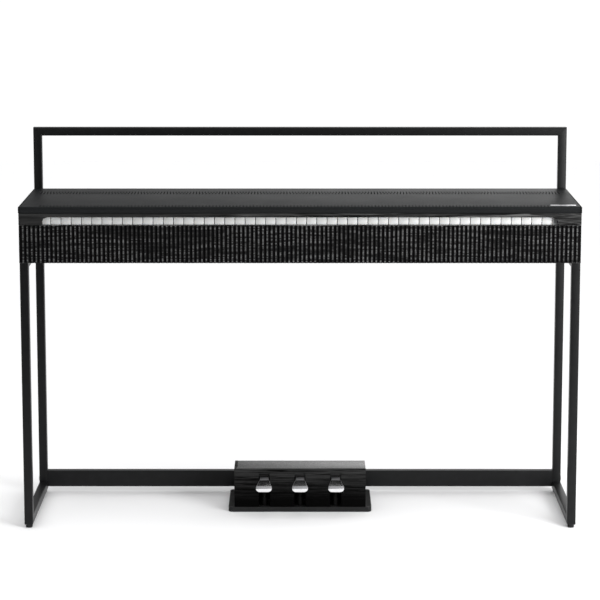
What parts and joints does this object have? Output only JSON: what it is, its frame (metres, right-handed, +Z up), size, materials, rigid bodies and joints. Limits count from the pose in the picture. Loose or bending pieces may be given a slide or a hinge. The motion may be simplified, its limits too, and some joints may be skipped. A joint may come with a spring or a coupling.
{
  "type": "digital piano on stand",
  "caption": "Slim black digital piano with a stitched flip-up lid, reeded front panel and three pedals, on a square-tube stand.",
  "frame": {"origin": "on the floor, at the middle of the outline seen from above", "axes": "+X to the player's right along the keyboard, -Y towards the player, +Z up"},
  "size_m": [1.291, 0.34, 0.908],
  "materials": {
    "powder_coat": "satin",
    "wood_grain": "open-pore satin",
    "case_board": "satin foil",
    "leatherette": "satin",
    "lid_lining": "satin foil",
    "key_white": "satin",
    "key_black": "satin",
    "bright_steel": "satin",
    "chrome": "polished",
    "rubber": "matte",
    "dome_rubber": "matte",
    "felt": "matte",
    "circuit": "satin",
    "black_plastic": "satin",
    "grey_plastic": "satin",
    "badge_metal": "satin",
    "dark_bolt": "satin",
    "base_board": "satin"
  },
  "bodies": {
    "stand_and_case": {"side_frame_left": "powder_coat", "side_frame_right": "powder_coat", "top_bar": "powder_coat", "rear_stretcher": "powder_coat", "frame_bolts": "dark_bolt", "bottom_board": "case_board", "side_panel_left": "case_board", "side_panel_right": "case_board", "rear_panel": "case_board", "front_board": "case_board", "reeded_panel": "wood_grain", "rear_top_strip": "leatherette", "lid_fold": "leatherette", "lid_bumpers": "rubber", "key_frame": "bright_steel", "key_felts": "felt", "key_pivot_rod": "bright_steel", "contact_board": "circuit", "contact_domes": "dome_rubber", "cheek_blocks": "case_board", "control_panel": "black_plastic", "main_board": "circuit", "speakers": "black_plastic", "jack_panel": "black_plastic", "pedal_base": "base_board", "pedal_box": "wood_grain", "pedal_axle": "bright_steel", "pedal_springs": "dark_bolt", "pedal_bumpers": "rubber", "pedal_brackets": "powder_coat"},
    "lid": {"lid_board": "lid_lining", "lid_battens": "lid_lining", "lid_cover": "leatherette", "lid_fascia": "wood_grain", "lid_badge": "badge_metal"},
    "foot_front_left": {"foot_front_left": "rubber"},
    "foot_front_right": {"foot_front_right": "rubber"},
    "foot_rear_left": {"foot_rear_left": "rubber"},
    "foot_rear_right": {"foot_rear_right": "rubber"},
    "pedal_left": {"pedal_left": "chrome"},
    "pedal_center": {"pedal_center": "chrome"},
    "pedal_right": {"pedal_right": "chrome"},
    "power_button": {"power_button": "grey_plastic"},
    "volume_knob": {"volume_knob": "black_plastic"},
    "white_keys_bass": {"white_keys_bass": "key_white"},
    "black_keys_bass": {"black_keys_bass": "key_black"},
    "white_keys_treble": {"white_keys_treble": "key_white"},
    "black_keys_treble": {"black_keys_treble": "key_black"},
    "key_c4": {"key_c4": "key_white"},
    "key_c4_sharp": {"key_c4_sharp": "key_black"},
    "key_d4": {"key_d4": "key_white"},
    "key_d4_sharp": {"key_d4_sharp": "key_black"},
    "key_e4": {"key_e4": "key_white"},
    "key_f4": {"key_f4": "key_white"},
    "key_f4_sharp": {"key_f4_sharp": "key_black"},
    "key_g4": {"key_g4": "key_white"},
    "key_g4_sharp": {"key_g4_sharp": "key_black"},
    "key_a4": {"key_a4": "key_white"},
    "key_a4_sharp": {"key_a4_sharp": "key_black"},
    "key_b4": {"key_b4": "key_white"}
  },
  "joints": [
    {"name": "lid_hinge", "type": "hinge", "parent": "stand_and_case", "child": "lid", "pos_m": [0, 0.06525, 0.76], "axis": [-1, 0, 0], "range_deg": [0, 119]},
    {"name": "foot_front_left_screw", "type": "slide", "parent": "stand_and_case", "child": "foot_front_left", "axis": [0, 0, -1], "range_m": [0, 0.008]},
    {"name": "foot_front_right_screw", "type": "slide", "parent": "stand_and_case", "child": "foot_front_right", "axis": [0, 0, -1], "range_m": [0, 0.008]},
    {"name": "foot_rear_left_screw", "type": "slide", "parent": "stand_and_case", "child": "foot_rear_left", "axis": [0, 0, -1], "range_m": [0, 0.008]},
    {"name": "foot_rear_right_screw", "type": "slide", "parent": "stand_and_case", "child": "foot_rear_right", "axis": [0, 0, -1], "range_m": [0, 0.008]},
    {"name": "pedal_left_press", "type": "hinge", "parent": "stand_and_case", "child": "pedal_left", "pos_m": [-0.0854, 0.035, 0.078], "axis": [1, 0, 0], "range_deg": [0, 6.5], "stiffness_Nm_per_rad": 8, "springref_deg": -12.03},
    {"name": "pedal_center_press", "type": "hinge", "parent": "stand_and_case", "child": "pedal_center", "pos_m": [0, 0.035, 0.078], "axis": [1, 0, 0], "range_deg": [0, 6.5], "stiffness_Nm_per_rad": 8, "springref_deg": -12.03},
    {"name": "pedal_right_press", "type": "hinge", "parent": "stand_and_case", "child": "pedal_right", "pos_m": [0.0854, 0.035, 0.078], "axis": [1, 0, 0], "range_deg": [0, 6.5], "stiffness_Nm_per_rad": 8, "springref_deg": -12.03},
    {"name": "power_button_press", "type": "slide", "parent": "stand_and_case", "child": "power_button", "axis": [0, 0, -1], "range_m": [0, 0.0015], "stiffness_N_per_m": 400, "springref_m": -0.002},
    {"name": "volume_knob_turn", "type": "hinge", "parent": "stand_and_case", "child": "volume_knob", "pos_m": [0.573, 0.03, 0.74], "axis": [0, 0, 1], "range_deg": [-140, 140]},
    {"name": "white_keys_bass_press", "type": "hinge", "parent": "stand_and_case", "child": "white_keys_bass", "pos_m": [0, 0.075, 0.726], "axis": [1, 0, 0], "range_deg": [0, 2.5], "stiffness_Nm_per_rad": 23, "springref_deg": -11.46},
    {"name": "black_keys_bass_press", "type": "hinge", "parent": "stand_and_case", "child": "black_keys_bass", "pos_m": [0, 0.075, 0.726], "axis": [1, 0, 0], "range_deg": [0, 2.5], "stiffness_Nm_per_rad": 16, "springref_deg": -11.46},
    {"name": "white_keys_treble_press", "type": "hinge", "parent": "stand_and_case", "child": "white_keys_treble", "pos_m": [0, 0.075, 0.726], "axis": [1, 0, 0], "range_deg": [0, 2.5], "stiffness_Nm_per_rad": 22, "springref_deg": -11.46},
    {"name": "black_keys_treble_press", "type": "hinge", "parent": "stand_and_case", "child": "black_keys_treble", "pos_m": [0, 0.075, 0.726], "axis": [1, 0, 0], "range_deg": [0, 2.5], "stiffness_Nm_per_rad": 15, "springref_deg": -11.46},
    {"name": "key_c4_press", "type": "hinge", "parent": "stand_and_case", "child": "key_c4", "pos_m": [0, 0.075, 0.726], "axis": [1, 0, 0], "range_deg": [0, 2.5], "stiffness_Nm_per_rad": 1, "springref_deg": -11.46},
    {"name": "key_c4_sharp_press", "type": "hinge", "parent": "stand_and_case", "child": "key_c4_sharp", "pos_m": [0, 0.075, 0.726], "axis": [1, 0, 0], "range_deg": [0, 2.5], "stiffness_Nm_per_rad": 1, "springref_deg": -11.46},
    {"name": "key_d4_press", "type": "hinge", "parent": "stand_and_case", "child": "key_d4", "pos_m": [0, 0.075, 0.726], "axis": [1, 0, 0], "range_deg": [0, 2.5], "stiffness_Nm_per_rad": 1, "springref_deg": -11.46},
    {"name": "key_d4_sharp_press", "type": "hinge", "parent": "stand_and_case", "child": "key_d4_sharp", "pos_m": [0, 0.075, 0.726], "axis": [1, 0, 0], "range_deg": [0, 2.5], "stiffness_Nm_per_rad": 1, "springref_deg": -11.46},
    {"name": "key_e4_press", "type": "hinge", "parent": "stand_and_case", "child": "key_e4", "pos_m": [0, 0.075, 0.726], "axis": [1, 0, 0], "range_deg": [0, 2.5], "stiffness_Nm_per_rad": 1, "springref_deg": -11.46},
    {"name": "key_f4_press", "type": "hinge", "parent": "stand_and_case", "child": "key_f4", "pos_m": [0, 0.075, 0.726], "axis": [1, 0, 0], "range_deg": [0, 2.5], "stiffness_Nm_per_rad": 1, "springref_deg": -11.46},
    {"name": "key_f4_sharp_press", "type": "hinge", "parent": "stand_and_case", "child": "key_f4_sharp", "pos_m": [0, 0.075, 0.726], "axis": [1, 0, 0], "range_deg": [0, 2.5], "stiffness_Nm_per_rad": 1, "springref_deg": -11.46},
    {"name": "key_g4_press", "type": "hinge", "parent": "stand_and_case", "child": "key_g4", "pos_m": [0, 0.075, 0.726], "axis": [1, 0, 0], "range_deg": [0, 2.5], "stiffness_Nm_per_rad": 1, "springref_deg": -11.46},
    {"name": "key_g4_sharp_press", "type": "hinge", "parent": "stand_and_case", "child": "key_g4_sharp", "pos_m": [0, 0.075, 0.726], "axis": [1, 0, 0], "range_deg": [0, 2.5], "stiffness_Nm_per_rad": 1, "springref_deg": -11.46},
    {"name": "key_a4_press", "type": "hinge", "parent": "stand_and_case", "child": "key_a4", "pos_m": [0, 0.075, 0.726], "axis": [1, 0, 0], "range_deg": [0, 2.5], "stiffness_Nm_per_rad": 1, "springref_deg": -11.46},
    {"name": "key_a4_sharp_press", "type": "hinge", "parent": "stand_and_case", "child": "key_a4_sharp", "pos_m": [0, 0.075, 0.726], "axis": [1, 0, 0], "range_deg": [0, 2.5], "stiffness_Nm_per_rad": 1, "springref_deg": -11.46},
    {"name": "key_b4_press", "type": "hinge", "parent": "stand_and_case", "child": "key_b4", "pos_m": [0, 0.075, 0.726], "axis": [1, 0, 0], "range_deg": [0, 2.5], "stiffness_Nm_per_rad": 1, "springref_deg": -11.46}
  ]
}
